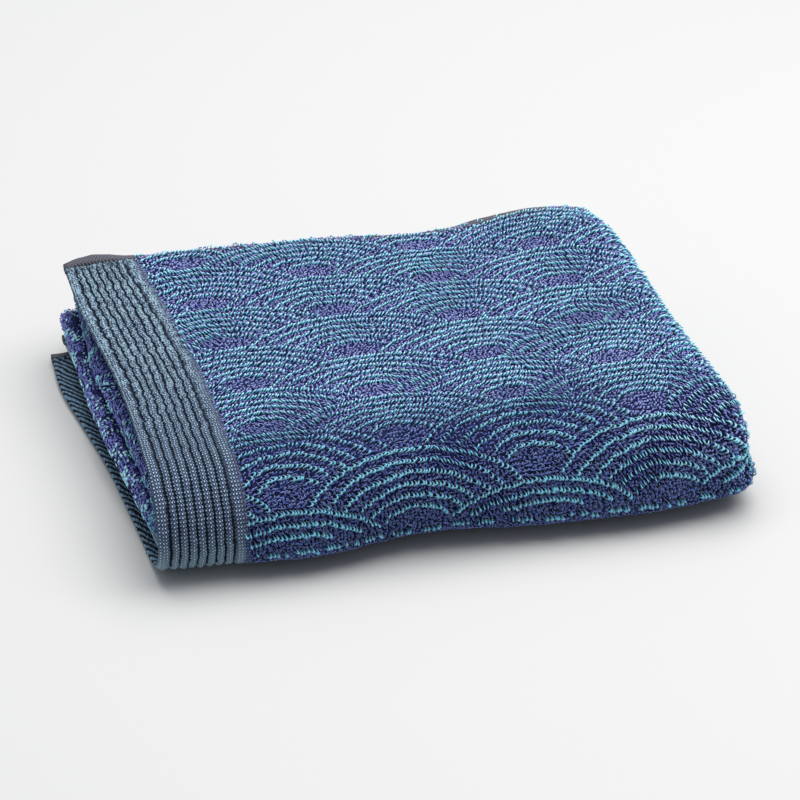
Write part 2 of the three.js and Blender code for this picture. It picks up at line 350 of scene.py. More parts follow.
def drift(u, v, wavelength, seed, waves=5):
    """Smooth unevenness over the cloth, mostly from -1 to 1: a few waves that run different ways."""
    rng = np.random.default_rng(seed)
    total = np.zeros_like(u)
    for _ in range(waves):
        way, phase = rng.uniform(0, 2 * math.pi, 2)
        crest_to_crest = wavelength * rng.uniform(0.7, 1.4)
        distance = u * math.cos(way) + v * math.sin(way)
        total += np.sin(2 * math.pi * distance / crest_to_crest + phase)
    return total / math.sqrt(waves)


# ---- Settings ----
def length(name, description, default):
    """A setting for a length, whose default is given in millimetres."""
    return FloatProperty(
        name=name, description=description, default=default * MM, min=0, max=1, precision=5, unit="LENGTH"
    )


def colour(name, description, default):
    return FloatVectorProperty(
        name=name, description=description, default=default, size=3, min=0, max=1, subtype="COLOR"
    )


class TowelPile(PropertyGroup):
    spacing: length("Loop spacing", "From one row of loops to the next", 1.3)
    ground_yarn: length("Ground yarn", "Thickness of a ground loop's yarn", 0.52)
    ground_span: length("Ground loop span", "From foot to foot of a ground loop", 1.35)
    ground_height: length("Ground loop height", "Top of the ground loops above the cloth's middle", 1.95)
    raised_yarn: length("Raised yarn", "Thickness of a raised loop's yarn", 0.50)
    raised_span: length("Raised loop span", "From foot to foot of a raised loop", 1.75)
    raised_height: length("Raised loop height", "Top of the raised loops above the cloth's middle", 2.7)
    core: length("Cloth under loops", "Half of the woven ground's thickness under the loops", 1.05)
    line_pitch: length("Line pitch", "From one raised line of a scale to the next", 3.7)
    scale_margin: length("Scale margin", "From a scale's outline to its first raised line", 1.4)
    scale_length: length("Scale half length", "Half of a wave scale's length, along the towel", 42.0)
    scale_depth: length("Scale depth", "From a wave scale's middle to its crown", 27.0)
    scale_step: length("Scale step", "From one row of scales to the next", 15.0)
    scale_heart: length("Scale heart", "Reach of the plain heart of a scale, from its middle", 4.5)
    ground: colour("Ground yarn", "Colour of the ground loops", (0.095, 0.125, 0.47))
    lilac: colour("Ground yarn, lilac", "Colour of the lighter strands of the ground", (0.34, 0.275, 0.71))
    raised: colour("Raised yarn", "Colour of the raised loops", (0.09, 0.56, 0.66))
    # Painted highlight: a light colour mixed into the tops of the ground loops, where the light catches
    # them.
    ground_highlight: colour("Ground tips", "Colour of the very tops of the ground loops", (0.52, 0.575, 0.96))
    # Painted highlight: a light colour mixed into the tops of the raised loops.
    tip_highlight: colour("Raised yarn, tips", "Colour of the raised loops at their tops", (0.60, 0.83, 0.90))


class TowelTrim(PropertyGroup):
    hem: length("Hem rib", "Width of the rib along each end of the towel", 3.9)
    rib: length("Rib", "Width of each further rib", 2.91)
    rib_depth: length("Rib depth", "How deep the grooves between the ribs are", 1.1)
    dot_along: length("Dot pitch along", "From dot to dot of the border's weave, along the towel", 0.97)
    dot_across: length("Dot pitch across", "From dot to dot of the border's weave, across the towel", 1.34)
    dots: colour("Border dots", "Colour of the border's light threads", (0.385, 0.575, 0.685))
    slate: colour("Border ground", "Colour of the border's dark threads", (0.030, 0.036, 0.090))
    reverse_light: colour("Border reverse, light", "Colour of its light stripes", (0.135, 0.24, 0.355))
    brown: colour("Border reverse, dark", "Colour of its dark threads", (0.014, 0.013, 0.018))
    edging: colour("Edging", "Colour of the binding along both long edges", (0.09, 0.092, 0.115))


class TowelStage(PropertyGroup):
    floor: colour("Floor", "Colour of the floor", (0.5, 0.5, 0.5))
    world: FloatProperty(
        name="World light", description="Strength of the light from all round", default=0.53, min=0
    )
    key: FloatProperty(
        name="Main light", description="Power of the soft light above and behind", default=36, min=0
    )


def settings(group):
    return getattr(bpy.context.scene, group)


# ---- Node materials ----
class Value:
    """A node's output. Arithmetic on it adds Math nodes."""

    def __init__(self, finish, socket):
        self.finish = finish
        self.socket = socket

    def math(self, operation, first, second=0.0):
        return self.finish.node("ShaderNodeMath", {"operation": operation}, {0: first, 1: second})

    def __add__(self, other):
        return self.math("ADD", self, other)

    __radd__ = __add__

    def __mul__(self, other):
        return self.math("MULTIPLY", self, other)

    __rmul__ = __mul__

    def __sub__(self, other):
        return self.math("SUBTRACT", self, other)

    def __rsub__(self, other):
        return self.math("SUBTRACT", other, self)

    def sine(self):
        return self.math("SINE", self)

    def clamped(self, low, high):
        """0 at low, 1 at high, and smooth between."""
        return self.finish.node(
            "ShaderNodeMapRange",
            {"interpolation_type": "SMOOTHSTEP"},
            {"Value": self, "From Min": low, "From Max": high},
        )


class Finish:
    """A material with a Principled shader, built up one node at a time.

    A socket of the shader is named in code with low lines for its spaces.
    """

    def __init__(self, name, **constants):
        self.material = bpy.data.materials.new(name)
        self.material.use_nodes = True
        self.tree = self.material.node_tree
        self.shader = self.tree.nodes["Principled BSDF"]
        self.surface(**constants)

    def node(self, kind, options=None, sockets=None, output=0):
        """Adds a node: its options first, then the value or link of each socket."""
        made = self.tree.nodes.new(kind)
        for option, value in (options or {}).items():
            setattr(made, option, value)
        for socket, value in (sockets or {}).items():
            self.feed(made.inputs[socket], value)
        return Value(self, made.outputs[output])

    def feed(self, socket, value):
        if isinstance(value, Value):
            self.tree.links.new(value.socket, socket)
        else:
            socket.default_value = value

    def surface(self, **values):
        for socket, value in values.items():
            self.feed(self.shader.inputs[socket.replace("_", " ")], value)

    def attribute(self, name):
        return self.node("ShaderNodeAttribute", {"attribute_name": name}, output="Vector")

    def split(self, vector):
        made = self.node("ShaderNodeSeparateXYZ", None, {0: vector})
        return [Value(self, socket) for socket in made.socket.node.outputs]

    def mix(self, factor, first, second, blend="MIX"):
        return self.node(
            "ShaderNodeMix",
            {"data_type": "RGBA", "blend_type": blend},
            {0: factor, 6: first, 7: second},
            output=2,
        )

    def noise(self, vector, scale, detail=2.0, roughness=0.5):
        return self.node(
            "ShaderNodeTexNoise",
            None,
            {"Vector": vector, "Scale": scale, "Detail": detail, "Roughness": roughness},
        )

    def cells(self, vector, scale, randomness):
        """How far each place is from the middle of its cell, with the cells spread at random."""
        sockets = {"Vector": vector, "Scale": scale, "Randomness": randomness}
        return self.node("ShaderNodeTexVoronoi", {"feature": "F1"}, sockets)

    def bump(self, height, distance, strength):
        sockets = {"Height": height, "Distance": distance, "Strength": strength}
        return self.node("ShaderNodeBump", None, sockets)


def rgba(values, factor=1.0):
    """A colour for a socket, made darker or lighter by a factor."""
    return (*[min(channel * factor, 1.0) for channel in values], 1.0)


# Fades over the open towel's millimetres: nothing at the first place and all at the second.
# Where the painted shade on the front lies, and where it eases off near the right folds.
FRONT_BEGINS = (FLAT_WIDTH - 24, FLAT_WIDTH + 6)
FRONT_ENDS = (round_nose(1) + 10, round_nose(1) - 10)
FRONT_EASED_ALONG = (LEG_STARTS[BIG_FOLD] - 45, LEG_STARTS[BIG_FOLD] - 10)
FRONT_EASED_ACROSS = (round_nose(0.6), round_nose(0.2))
# Where the painted shade of the small folds at the left lies.
RIM_BEGINS = (LEG_STARTS[LEFT_FOLD] - 14, LEG_STARTS[LEFT_FOLD] - 4)
RIM_ENDS = (LEG_STARTS[LEFT_FOLD + 1] + 14, LEG_STARTS[LEFT_FOLD + 1] + 4)
BORDER_TOP = (165, 50)
# Where the painted light at the border's foot lies.
BORDER_FOOT = (round_nose(0.42), round_nose(0.82))
# Fades from a loop's foot, at 0, to its top, at 1, which place the painted shade at the feet and the
# painted highlights at the tips.
WHOLE_LOOP = (0.15, 0.95)
UPPER_LOOP = (0.3, 1.0)
RAISED_TIPS = (0.6, 1.0)
GROUND_TIPS = (0.75, 1.0)
# How closely woven lines lie, in radians to a millimetre: along the towel, or along and across it.
REVERSE_STRIPES = (2.55, 1.5)
REVERSE_TWILL = (5.2, -7.0)
EDGE_STITCHES = 2.9
EDGING_KNIT = 4.2


def pile_finish():
    pile = settings("towel_pile")
    finish = Finish(
        "Terry yarn",
        Roughness=0.85,
        Specular_IOR_Level=0.1,
        Sheen_Weight=1.0,
        Sheen_Roughness=0.45,
        Sheen_Tint=(0.6, 0.8, 1.0, 1.0),
    )
    raised, shade, lift = finish.split(finish.attribute("yarn"))
    place = finish.attribute("open_towel")
    along, across, _ = finish.split(place)
    strands = finish.noise(place, 0.9, 3.0).clamped(0.4, 0.7)
    patches = finish.noise(place, 0.03, 2.0).clamped(0.4, 0.65) * 0.6
    ground = finish.mix(strands, rgba(pile.ground), rgba(pile.lilac))
    ground = finish.mix(patches, ground, rgba(pile.ground, 0.8))
    # Painted highlight on the tops of the ground loops.
    ground = finish.mix(lift.clamped(*GROUND_TIPS) * 0.42, ground, rgba(pile.ground_highlight))
    bright = finish.mix(shade, rgba(pile.raised, 0.8), rgba(pile.raised, 1.35))
    # Painted highlight on the tops of the raised loops.
    bright = finish.mix(lift.clamped(*RAISED_TIPS) * 0.75, bright, rgba(pile.tip_highlight))
    yarn = finish.mix(raised, ground, bright)
    # Painted shade: the yarn darkens towards each loop's feet, and on the side of each loop that lies
    # towards the next.
    foot_shade_tint = finish.mix(raised, rgba((0.07, 0.14, 0.42)), rgba((0.04, 0.20, 0.36)))
    painted_foot_shade = finish.mix(lift.clamped(*WHOLE_LOOP), foot_shade_tint, rgba((1.0, 1.0, 1.0)))
    shaded_yarn = finish.mix(1.0, yarn, painted_foot_shade, "MULTIPLY")

    # Painted shade: where the cloth turns over the front, its loops part, and their colour is darkened,
    # most at their lower parts, for their shaded flanks and feet.
    front = across.clamped(*FRONT_BEGINS) * across.clamped(*FRONT_ENDS)
    eased = along.clamped(*FRONT_EASED_ALONG) * across.clamped(*FRONT_EASED_ACROSS)
    front = front * (1.0 - eased * 0.75)
    front_shade_top = finish.mix(raised, rgba((0.22, 0.30, 0.53)), rgba((0.36, 0.63, 0.73)))
    front_shade = finish.mix(lift.clamped(*UPPER_LOOP), rgba((0.01, 0.05, 0.17)), front_shade_top)
    seen = finish.mix(front, shaded_yarn, finish.mix(1.0, shaded_yarn, front_shade, "MULTIPLY"))

    # Painted shade: the small folds at the left press their loops together, and their colour is darkened,
    # most at the loops' lower parts.
    left_fold_shade_mask = along.clamped(*RIM_BEGINS) * along.clamped(*RIM_ENDS)
    fold_shade_top = finish.mix(raised, rgba((0.46, 0.42, 0.80)), rgba((0.9, 1.0, 1.0)))
    pressed = finish.mix(lift.clamped(*UPPER_LOOP), rgba((0.28, 0.25, 0.52)), fold_shade_top)
    seen = finish.mix(left_fold_shade_mask, seen, finish.mix(1.0, seen, pressed, "MULTIPLY"))
    ply = finish.noise(place, 3.2, 2.0)
    finish.surface(Base_Color=seen, Normal=finish.bump(ply, 0.00012, 0.7))
    return finish.material


def ground_finish():
    """The woven ground under the loops, and the flattened pile of the inner layers, in a dark blue that is
    painted shade for the gaps between the loops.
    """
    pile = settings("towel_pile")
    finish = Finish("Terry ground", Roughness=0.95, Specular_IOR_Level=0.05)
    place = finish.attribute("open_towel")
    loops = finish.cells(place, 0.75, 0.8)
    tone = finish.noise(place, 0.5, 3.0)
    # Painted shade: a small share of the yarn's colour, darkest at the rims of the flattened loops.
    dark = finish.mix(tone.clamped(0.35, 0.65), rgba(pile.ground, 0.2), rgba(pile.ground, 0.45))
    seen = finish.mix(loops.clamped(0.15, 0.6), dark, rgba(pile.ground, 0.1))
    finish.surface(Base_Color=seen, Normal=finish.bump(1.0 - loops, 0.0009, 1.0))
    return finish.material


def border_finish():
    trim = settings("towel_trim")
    finish = Finish("Border weave", Roughness=0.8, Specular_IOR_Level=0.1)
    place = finish.attribute("open_towel")
    along, across, side = finish.split(place)
    ridge, by_edging, seam = finish.split(finish.attribute("ribbing"))
    knots = finish.noise(place, 0.5, 2.0)
    long_way = finish.node(
        "ShaderNodeVectorMath", {"operation": "MULTIPLY"}, {0: place, 1: (1.0, 0.55, 1.0)}
    )
    strands = finish.noise(long_way, 1.4, 1.0, 0.6)

    # The face: rows of light dots in line with the ribs, more broken on top, and lightened at the foot
    # with painted light that stands for light from the floor.
    turn = 2 * math.pi * MM
    column = ((along - trim.hem / MM) * (turn / trim.dot_along) - math.pi / 2).sine()
    dots = column + (across * (turn / trim.dot_across)).sine()
    light = dots.clamped(0.65, 1.6) + dots.clamped(-1.0, -1.9) * 0.3
    light = light * strands.clamped(0.1, 0.4)
    # Painted light at the border's foot.
    at_foot = across.clamped(*BORDER_FOOT) * 0.5
    between = strands.clamped(0.46, 0.6) * across.clamped(*BORDER_TOP) * 0.55
    light = light + (1.0 - light) * (between + at_foot + 0.02)
    face = finish.mix(light, rgba(trim.slate), rgba(trim.dots))
    face = finish.mix(seam * 0.65, face, rgba((0.05, 0.05, 0.10)))

    # The reverse: slanting stripes of twill.
    bend = finish.noise(place, 0.16, 1.0) * 6.0
    stripe = (along * REVERSE_STRIPES[0] + across * REVERSE_STRIPES[1] + bend).sine()
    twill = (along * REVERSE_TWILL[0] + across * REVERSE_TWILL[1]).sine()
    lit = finish.mix(
        twill.clamped(-0.8, 0.8), rgba(trim.reverse_light, 0.3), rgba(trim.reverse_light, 2.1)
    )
    striped = stripe.clamped(-0.6, 0.4) * strands.clamped(0.15, 0.45)
    reverse = finish.mix(striped, rgba(trim.brown), lit)
    seen = finish.mix(side.clamped(-0.2, 0.2), reverse, face)

    # Painted shade: the grooves and the holes beside the edging are darkened, and so is the row of
    # stitches there.
    hollow = 1.0 - by_edging * (1.0 - finish.cells(place, 0.7, 0.9).clamped(0.25, 0.5))
    stitches = (along * EDGE_STITCHES + knots * 2.0).sine().clamped(0.0, 0.6) * 0.8
    stitches = stitches * by_edging.clamped(0.1, 0.3) * by_edging.clamped(0.9, 0.6)
    # The painted groove shade is weaker at the border's foot.
    unshaded = (ridge + (knots - 0.5) * 0.9 + at_foot * 0.5).clamped(0.25, 0.95)
    unshaded = unshaded * hollow * (1.0 - stitches)
    seen = finish.mix(unshaded, rgba((0.010, 0.017, 0.034)), seen)
    relief = dots * 0.5 + strands + stripe * side.clamped(0.2, -0.2) * 1.5 + hollow
    finish.surface(Base_Color=seen, Normal=finish.bump(relief, 0.0004, 0.9))
    return finish.material


def edging_finish():
    trim = settings("towel_trim")
    finish = Finish("Edging knit", Roughness=0.75, Specular_IOR_Level=0.2)
    along, across, side = finish.split(finish.attribute("open_towel"))
    knit = (along * EDGING_KNIT + side * 2.5).sine() * (across * EDGING_KNIT).sine()
    tone = finish.mix(knit.clamped(-0.5, 0.6), rgba(trim.edging, 0.55), rgba(trim.edging, 1.35))
    finish.surface(Base_Color=tone, Normal=finish.bump(knit, 0.00022, 0.9))
    return finish.material


# ---- Making flat pieces ----
def mesh_points(piece):
    points = np.empty(len(piece.data.vertices) * 3)
    piece.data.vertices.foreach_get("co", points)
    return points.reshape(-1, 3)


def set_mesh_points(piece, points):
    piece.data.vertices.foreach_set("co", points.ravel())
    piece.data.update()


def only(piece):
    """Selects a piece and nothing else, and makes it the active one."""
    bpy.ops.object.select_all(action="DESELECT")
    piece.select_set(True)
    bpy.context.view_layer.objects.active = piece


def blank(name, us, vs):
    """A flat length of cloth, 2 mm thick, with lines of faces at us along the towel and vs across it."""
    columns, rows = len(us) - 1, len(vs) - 1
    bpy.ops.mesh.primitive_grid_add(x_subdivisions=columns, y_subdivisions=rows, size=1)
    piece = bpy.context.object
    piece.name = piece.data.name = name
    unit = mesh_points(piece) + 0.5
    column = np.rint(unit[:, 0] * columns).astype(int)
    row = np.rint((1 - unit[:, 1]) * rows).astype(int)
    flat = np.column_stack([us[column], -vs[row], np.zeros(len(unit))])
    set_mesh_points(piece, flat)
    only(piece)
    thickness = piece.modifiers.new("Thickness", "SOLIDIFY")
    thickness.thickness = 2.0
    thickness.offset = 0.0
    bpy.ops.object.modifier_apply(modifier=thickness.name)
    return piece


def blank_places(piece):
    """A blank's points, their places along and across the towel, and which are on its face."""
    flat = mesh_points(piece)
    return flat, flat[:, 0], -flat[:, 1], flat[:, 2] > 0


def keep_vectors(piece, name, vectors):
    """Keeps three numbers for each point of a piece, which the materials follow."""
    attribute = piece.data.attributes.new(name, "FLOAT_VECTOR", "POINT")
    attribute.data.foreach_set("vector", vectors.ravel())


def bake_map(piece, flat):
    """A flat map of the piece for baking: its face in the left half and its reverse in the right."""
    mesh = piece.data
    corner = np.empty(len(mesh.loops), int)
    mesh.loops.foreach_get("vertex_index", corner)
    low, high = flat.min(axis=0), flat.max(axis=0)
    place = (flat - low) / (high - low)
    starts = np.empty(len(mesh.polygons), int)
    totals = np.empty(len(mesh.polygons), int)
    mesh.polygons.foreach_get("loop_start", starts)
    mesh.polygons.foreach_get("loop_total", totals)
    middles = np.add.reduceat(flat[corner, 2], starts) / totals
    reverse = np.repeat(middles < 0, totals)
    margin = 0.005
    sideways = margin + (0.5 - 2 * margin) * place[corner, 0] + np.where(reverse, 0.5, 0)
    uv = np.column_stack([sideways, margin + (1 - 2 * margin) * place[corner, 1]])
    layer = mesh.uv_layers.new(name="OFBake")
    layer.data.foreach_set("uv", uv.ravel())


def lay_down(piece, flat, finish, even=None):
    """Folds a flat piece into its place and gives it its finish.

    The finish follows each point's place along, across and through the open towel. Where the points
    stray from an even piece, it follows the even one.
    """
    keep_vectors(piece, "open_towel", (flat if even is None else even) * (1, -1, 1))
    bake_map(piece, flat)
    set_mesh_points(piece, fold(flat))
    only(piece)
    bpy.ops.object.shade_smooth()
    piece.data.materials.clear()
    piece.data.materials.append(finish)


def register_piece(piece, node):
    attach(piece, "root")
    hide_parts(node)


# ---- The terry ----
def wave_scale(u, v):
    """Each place's offset from the middle of the wave scale that it lies on, along u and across v."""
    pile = settings("towel_pile")
    half, depth, step = pile.scale_length / MM, pile.scale_depth / MM, pile.scale_step / MM
    off_u, off_v = np.full(u.shape, np.inf), np.full(v.shape, np.inf)
    for row in range(int(v.min() / step) - 1, int(v.max() / step) + 4):  # later rows lie over earlier
        aside = half if row % 2 else 0.0
        middle_u = np.round((u - aside) / (2 * half)) * 2 * half + aside
        covers = np.hypot((u - middle_u) * depth / half, v - row * step) <= depth
        off_u = np.where(covers, u - middle_u, off_u)
        off_v = np.where(covers, v - row * step, off_v)
    return off_u, off_v


def raised_lines(u, v, column):
    """Which loops belong to the raised lines of the scales, and how far across each is from its line."""
    pile = settings("towel_pile")
    pitch, depth = pile.line_pitch / MM, pile.scale_depth / MM
    flatness = pile.scale_depth / pile.scale_length
    off_u, off_v = wave_scale(u, v)
    first = depth - pile.scale_margin / MM

    def line_number(aside_u, aside_v):
        away = np.hypot((off_u + aside_u) * flatness, off_v + aside_v)
        return np.ceil((first - away) / pitch)

    half_row, half_column = pile.spacing / MM / 2, column / 2
    flat = np.abs(off_v) > 1.2 * np.abs(off_u) * flatness**2  # where a line runs more along than across
    on_row = line_number(0, -half_row) != line_number(0, half_row)
    on_column = line_number(-half_column, 0) != line_number(half_column, 0)
    away = np.hypot(off_u * flatness, off_v)
    at_foot = (v > round_nose(0.56)) & (v < round_nose(1.5))
    drawn = (away > pile.scale_heart / MM) & (away < first + half_row) & ~at_foot
    last_row = np.abs(v - round_nose(0.63)) < half_row
    raised = np.where(flat, on_row, on_column) & drawn | last_row & (drift(u, v, 5.0, 41) > -0.2)
    line = first - pitch * np.round((first - away) / pitch)
    target = np.sign(off_v) * np.sqrt(np.maximum(line**2 - (off_u * flatness) ** 2, 0))
    shift = np.where(raised & flat, np.clip(target - off_v, -half_row, half_row), 0)
    return raised, np.nan_to_num(shift)


def arch_faces(rings):
    """The corners of each face of one loop: a foot, rings of four, and the other foot."""
    faces = []
    for k in range(4):
        after = (k + 1) % 4
        faces.append((0, 1 + k, 1 + after))
        for ring in range(rings - 1):
            here, there = 1 + 4 * ring, 5 + 4 * ring
            faces.append((here + k, there + k, there + after, here + after))
        end = 1 + 4 * (rings - 1)
        faces.append((4 * rings + 1, end + after, end + k))
    return faces


def arches(centres, rings, span, foot, height, yarn, turned, lean):
    """Points of many loops of yarn on the open towel, as (loop, point, 3), and each point's lift.

    The lift is 0 at a loop's feet and 1 at its top, and less on the side that lies in the next's shade.
    """
    angle = np.linspace(0, math.pi, rings + 2)  # round the arch, from foot to foot
    thick = yarn[:, None, None] / 2
    half, rise = span[:, None] / 2, (height - foot - yarn / 2)[:, None]
    along, up = -np.cos(angle) * half, np.sin(angle) * rise
    out_along, out_up = -np.cos(angle) * rise, np.sin(angle) * half
    size = np.hypot(out_along, out_up)
    around = 2 * math.pi * (np.arange(4) + 0.5) / 4
    inner = slice(1, rings + 1)
    ring_along = along[:, inner, None] + thick * np.cos(around) * (out_along / size)[:, inner, None]
    ring_up = up[:, inner, None] + thick * np.cos(around) * (out_up / size)[:, inner, None]
    ring_side = np.broadcast_to(thick * np.sin(around), ring_along.shape)
    count = len(centres)

    def with_feet(rings_of, feet):
        return np.concatenate([feet[:, :1], rings_of.reshape(count, -1), feet[:, -1:]], axis=1)

    along = with_feet(ring_along, along)
    up = with_feet(ring_up, up)
    side = with_feet(ring_side, np.zeros_like(angle) * half)
    cos, sin = np.cos(turned)[:, None], np.sin(turned)[:, None]
    points = np.stack(
        [
            centres[:, :1] + along * cos - side * sin + up * lean[:, :1],
            centres[:, 1:2] + along * sin + side * cos + up * lean[:, 1:2],
            foot + up,
        ],
        axis=2,
    )
    shaded_side = 0.15 * (1 - side / thick[:, :, 0])
    return points, up / rise - shaded_side


def joined_mesh(name, points, faces):
    """A mesh of many copies: points as (copy, point, 3), and the faces of one copy."""
    count, each = points.shape[:2]
    sizes = np.array([len(face) for face in faces])
    one = np.concatenate([np.array(face) for face in faces])
    corners = (one[None, :] + each * np.arange(count)[:, None]).ravel()
    starts = np.concatenate([[0], np.cumsum(np.tile(sizes, count))[:-1]])
    mesh = bpy.data.meshes.new(name)
    mesh.vertices.add(count * each)
    mesh.loops.add(len(corners))
    mesh.polygons.add(len(starts))
    mesh.vertices.foreach_set("co", points.reshape(-1))
    mesh.loops.foreach_set("vertex_index", corners.astype(np.int32))
    mesh.polygons.foreach_set("loop_start", starts.astype(np.int32))
    mesh.update(calc_edges=True)
    piece = bpy.data.objects.new(name, mesh)
    bpy.context.scene.collection.objects.link(piece)
    return piece


# How loops stand: slants in degrees, feet in millimetres, and leans as a share of their height.
LOOP_STANDS = {
    "ground": {"slant": 55, "slant_stray": 28, "foot_stray": 0.14, "lean": 0.5, "lean_stray": 0.3},
    "raised": {"slant": 62, "slant_stray": 9, "foot_stray": 0.07, "lean": 0.75, "lean_stray": 0.12},
}
SUNK_FOOT = 0.35  # how far a loop's feet go into the ground cloth
FIRST_ROWS = 5  # loops this near the upper back edge lean over its binding
BACK_SLOPE = 12  # and the pile slopes down to it from here


def loop_group(name, u, v, kind, rings, seed, short):
    """Loops of one kind at given places on the towel's face: the mesh and its flat points."""
    pile = settings("towel_pile")
    rng = np.random.default_rng(seed)
    count = len(u)
    raised = kind == "raised"
    stand = LOOP_STANDS[kind]
    by_edging = v < FIRST_ROWS
    span = short * getattr(pile, kind + "_span") / MM * rng.uniform(0.9, 1.1, count)
    height = getattr(pile, kind + "_height") / MM + rng.normal(0, 0.1, count)
    height += 0.15 * drift(u, v, 9.0, 11)
    height -= 0.5 * np.clip(1 - v / BACK_SLOPE, 0, 1)
    foot = pile.core / MM - SUNK_FOOT
    pressed = np.clip((v - round_nose(0.66)) / 9, 0, 1)  # under the towel's own weight
    height = foot + (height - foot) * short * (1 - 0.45 * pressed)
    yarn = short**0.5 * getattr(pile, kind + "_yarn") / MM * rng.uniform(0.9, 1.1, count)
    way = drift(u, v, 46.0, 23) + 0.55  # mostly one way, as cloth that was stroked flat
    slant = math.radians(stand["slant"]) * np.where(way > 0, 1.0, -1.0)
    turned = slant + rng.normal(0, math.radians(stand["slant_stray"]), count)
    centres = np.column_stack([u, -v]) + rng.normal(0, stand["foot_stray"], (count, 2))
    centres += 0.25 * np.column_stack([drift(u, v, 14.0, 31), drift(u, v, 17.0, 37)])
    lean = rng.normal(0, stand["lean_stray"], (count, 2))
    lean[:, 0] += stand["lean"] * np.tanh(2 * way) * np.where(by_edging, 0.4, 1.0)
    lean[:, 1] += np.where(by_edging, 0.25, -0.15)
    flat, lift = arches(centres, rings, span, foot, height, yarn, turned, lean)
    # lift sets each point's painted shade and painted highlight; a short pile gets less of the shade.
    lift = 1 - (1 - lift) * short**2  # little but the tips shows of a short pile
    shade = np.broadcast_to(rng.uniform(0, 1, count)[:, None], lift.shape)
    piece = joined_mesh(name, flat, arch_faces(rings))
    keep_vectors(piece, "yarn", np.stack([np.full(lift.shape, float(raised)), shade, lift], axis=2))
    return piece, flat.reshape(-1, 3)


def join(name, parts):
    """Joins pieces into the first of them, under a new name."""
    only(parts[0])
    for piece in parts:
        piece.select_set(True)
    bpy.ops.object.join()
    parts[0].name = parts[0].data.name = name
    return parts[0]


def strewn_flecks(u, v, _column):
    """Raised loops strewn in small groups, as the lines show where they are pressed in a fold."""
    rng = np.random.default_rng(7)
    groups = 0.8 * drift(u, v, 9.0, 19) + 0.5 * drift(u, v, 2.4, 29) + rng.normal(0, 0.8, u.shape)
    return groups > 1.05, np.zeros(u.shape)


def pile_piece(name, along, across, finish, rings, seed, crowding=1.08, short=1.0, drawn=raised_lines):
    """The loops on one stretch of the towel's face, as one piece.

    rings holds one number for the ground loops and one for the raised. Loops stand closer along a row
    than the rows do by crowding, and short is the share of their full size that they keep.
    """
    row = settings("towel_pile").spacing / MM * short
    column = row / crowding
    rows = row * np.arange(math.ceil(across[0] / row), math.ceil(across[1] / row))
    columns = np.arange(*along, column)
    u, v = (a.ravel() for a in np.meshgrid(columns, rows))
    raised, shift = drawn(u, v, column)
    v = v + 0.7 * shift
    parts = []
    for number, kind in enumerate(("ground", "raised")):
        here = raised == (kind == "raised")
        piece, flat = loop_group(name, u[here], v[here], kind, rings[number], seed + number, short)
        lay_down(piece, flat, finish)
        parts.append(piece)
    return join(name, parts)


class TOWEL_OT_cloth(Operator):
    """Makes the woven ground of the terry, which carries the loops"""

    bl_idname = "towel.cloth"
    bl_label = "Terry cloth"

    def execute(self, context):
        pile = context.scene.towel_pile
        us = np.unique(np.concatenate(lines_along(25)))
        start, end = BORDER_WIDTH + SEAM_GAP, TOWEL_LENGTH - BORDER_WIDTH - SEAM_GAP
        us = np.concatenate([[start], us[(us > start + 1) & (us < end - 1)], [end]])
        piece = blank("terry_cloth", us, np.linspace(*BETWEEN_EDGINGS, 81))
        flat, u, v, face = blank_places(piece)
        bare = PILE_THICKNESS / 2 - 0.15  # half the thickness where flattened pile takes loops' place
        in_left_fold = np.abs(u - np.mean(leg_span(LEFT_FOLD))) < 8
        under_loops = (u < LEG_STARTS[BIG_FOLD + 1] + 6) | in_left_fold
        half = np.where(face & under_loops, pile.core / MM, bare) + 0.12 * drift(u, v, 7.0, 5)
        flat[:, 2] = np.where(face, half, -half)
        lay_down(piece, flat, ground_finish())
        register_piece(piece, "terry_body")
        return {"FINISHED"}


class TOWEL_OT_pile(Operator):
    """Makes the loops of the terry on every face that shows"""

    bl_idname = "towel.pile"
    bl_label = "Terry loops"

    def execute(self, context):
        finish = pile_finish()
        right_from, right_to = leg_span(BIG_FOLD)
        left_from, left_to = leg_span(LEFT_FOLD)
        outer_run = (BORDER_WIDTH - 0.7, right_from)  # its first loops lie over the border's seam
        back_from, back_to = EDGING_WIDTH - 2.3, TOWEL_WIDTH - EDGING_WIDTH + 1.6  # and over the edgings
        middle, nose_end = FLAT_WIDTH / 2, TOWEL_WIDTH - FLAT_WIDTH
        detailed, plain = (2, 4), (2, 2)  # rings of points in a ground loop and in a raised one
        stretches = (
            ("pile_top_back", outer_run, (back_from, middle), detailed, {}),
            ("pile_top_front", outer_run, (middle, FLAT_WIDTH), detailed, {}),
            ("pile_front", outer_run, (FLAT_WIDTH, nose_end), detailed, {}),
            ("pile_under", outer_run, (nose_end, back_to), plain, {"crowding": 0.7}),
            (
                "pile_right_folds",
                (right_from, right_to + 3),
                (back_from, back_to),
                detailed,
                {"crowding": 1.2},
            ),
            (
                "pile_left_folds",
                (left_from - 4, left_to + 4),
                (0.6, TOWEL_WIDTH - 0.6),
                plain,
                {"crowding": 1.2, "short": 0.78, "drawn": strewn_flecks},
            ),
        )
        for number, (name, along, across, rings, options) in enumerate(stretches):
            piece = pile_piece(name, along, across, finish, rings, 100 + 10 * number, **options)
            register_piece(piece, "terry_body")
        return {"FINISHED"}


# ---- Borders and edgings ----
RIBS = 7  # beside the hem's own
RIB_FALL, BAND_FALL = 2.3, 14  # how steeply a rib and the plain band fall away to their grooves
HEM_GROOVE = 0.32  # half the width of the sharp groove beside the hem
HEM_WANDER = 2.5  # and how far from it the hem's stitches still draw the cloth about
PUCKER_REACH = 4.5  # how far from an edging the ribs are drawn flat
END_ROUNDING = 1.2  # how far in the rounding of the towel's end reaches
SEAM_BAND, SEAM_FADE = 2.6, 1.2  # where the plain band darkens to its seam with the terry


